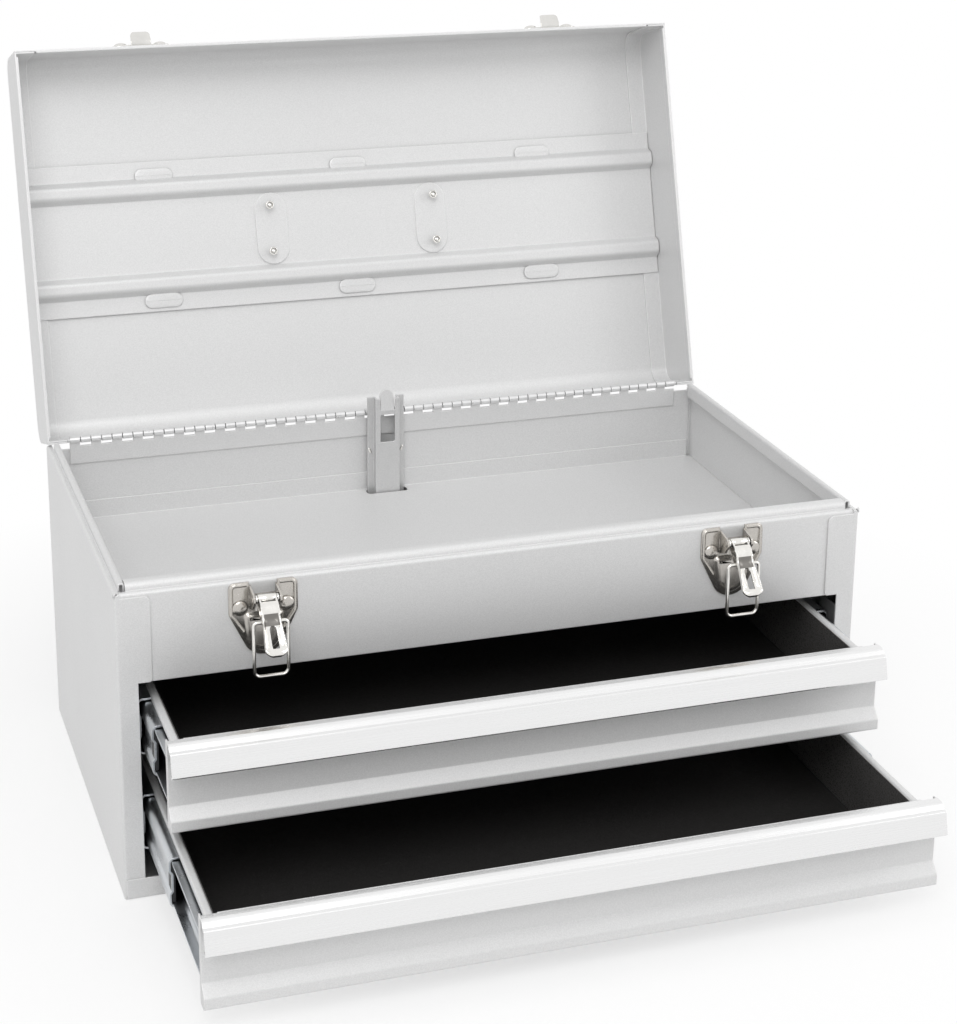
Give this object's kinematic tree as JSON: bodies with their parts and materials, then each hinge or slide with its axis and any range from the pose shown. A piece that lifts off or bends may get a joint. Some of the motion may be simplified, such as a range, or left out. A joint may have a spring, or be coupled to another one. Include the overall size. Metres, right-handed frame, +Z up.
{
  "type": "portable tool chest",
  "caption": "Portable steel tool chest: open tray under a piano-hinged lid, shallow drawers on telescopic slides below, draw latches on the front and a folding carry handle",
  "frame": {"origin": "middle of the underside, on the surface the chest stands on", "axes": "+Z up, the drawers and latches face -Y, +X to the right when seen from the front"},
  "size_m": [0.474, 0.5495, 0.4608],
  "materials": {
    "paint": "fine satin silver-grey metallic paint",
    "pull": "bright brushed trim",
    "latch": "nickel plate, slightly warm",
    "hinge": "bright rolled steel",
    "slide": "zinc plate",
    "mat": "black foam liner",
    "grip": "black moulded grip"
  },
  "bodies": {
    "body": {"side_panel_left": "paint", "side_panel_right": "paint", "base_pan": "paint", "back_panel": "paint", "header": "paint", "tray_floor": "paint", "upright_front_left": "paint", "upright_front_right": "paint", "upright_rear_left": "paint", "upright_rear_right": "paint", "hinge_body_leaf": "hinge", "lock_guide": "paint", "slide_cabinet_upper_left": "slide", "slide_cabinet_upper_right": "slide", "slide_cabinet_lower_left": "slide", "slide_cabinet_lower_right": "slide", "latch_plate_left": "latch", "latch_plate_right": "latch"},
    "lid": {"lid_shell": "paint", "lid_end_left": "paint", "lid_end_right": "paint", "lid_stiffener": "paint", "hinge_lid_leaf": "hinge", "keeper_left": "latch", "keeper_right": "latch", "handle_bracket_left": "latch", "handle_bracket_right": "latch"},
    "carry_handle": {"handle_bail": "latch", "handle_grip": "grip"},
    "drawer_upper": {"drawer_box_upper": "paint", "drawer_front_upper": "paint", "drawer_pull_upper": "pull", "drawer_mat_upper": "mat", "slide_drawer_upper_left": "slide", "slide_drawer_upper_right": "slide"},
    "runner_upper": {"slide_middle_upper_left": "slide", "slide_middle_upper_right": "slide"},
    "drawer_lower": {"drawer_box_lower": "paint", "drawer_front_lower": "paint", "drawer_pull_lower": "pull", "drawer_mat_lower": "mat", "slide_drawer_lower_left": "slide", "slide_drawer_lower_right": "slide"},
    "runner_lower": {"slide_middle_lower_left": "slide", "slide_middle_lower_right": "slide"},
    "lock_bar": {"lock_bar": "paint"},
    "lever_left": {"latch_lever_left": "latch"},
    "bail_left": {"latch_bail_left": "latch"},
    "lever_right": {"latch_lever_right": "latch"},
    "bail_right": {"latch_bail_right": "latch"}
  },
  "joints": [
    {"name": "lid_hinge", "type": "hinge", "parent": "body", "child": "lid", "pos_m": [0, 0.1324, 0.1995], "axis": [1, 0, 0], "range_deg": [0, 107]},
    {"name": "carry_handle_swing", "type": "hinge", "parent": "lid", "child": "carry_handle", "pos_m": [0, 0.22197, 0.31428], "axis": [1, 0, 0], "range_deg": [-11, 157]},
    {"name": "drawer_upper_slide", "type": "slide", "parent": "body", "child": "drawer_upper", "axis": [0, 1, 0], "range_m": [-0.1291, 0.0709]},
    {"name": "runner_upper_slide", "type": "slide", "parent": "body", "child": "runner_upper", "axis": [0, 1, 0], "range_m": [-0.06455, 0.03545]},
    {"name": "drawer_lower_slide", "type": "slide", "parent": "body", "child": "drawer_lower", "axis": [0, 1, 0], "range_m": [-0.0463, 0.1537]},
    {"name": "runner_lower_slide", "type": "slide", "parent": "body", "child": "runner_lower", "axis": [0, 1, 0], "range_m": [-0.02315, 0.07685]},
    {"name": "lock_bar_slide", "type": "slide", "parent": "body", "child": "lock_bar", "axis": [0, 0, 1], "range_m": [-0.008, 0]},
    {"name": "lever_left_pivot", "type": "hinge", "parent": "body", "child": "lever_left", "pos_m": [-0.1495, -0.1435, 0.188], "axis": [1, 0, 0], "range_deg": [0, 15], "stiffness_Nm_per_rad": 0.02, "springref_deg": -28.65},
    {"name": "bail_left_pivot", "type": "hinge", "parent": "lever_left", "child": "bail_left", "pos_m": [-0.1495, -0.1525, 0.17728], "axis": [-1, 0, 0], "range_deg": [-8, 210.2]},
    {"name": "lever_right_pivot", "type": "hinge", "parent": "body", "child": "lever_right", "pos_m": [0.1495, -0.1435, 0.188], "axis": [1, 0, 0], "range_deg": [0, 15], "stiffness_Nm_per_rad": 0.02, "springref_deg": -28.65},
    {"name": "bail_right_pivot", "type": "hinge", "parent": "lever_right", "child": "bail_right", "pos_m": [0.1495, -0.1525, 0.17728], "axis": [-1, 0, 0], "range_deg": [-8, 210.2]}
  ],
  "couplings": [
    {"joint": "runner_upper_slide", "follows": "drawer_upper_slide", "ratio": 0.5},
    {"joint": "runner_lower_slide", "follows": "drawer_lower_slide", "ratio": 0.5},
    {"joint": "lock_bar_slide", "follows": "lid_hinge", "m_per_rad": -0.00428}
  ]
}
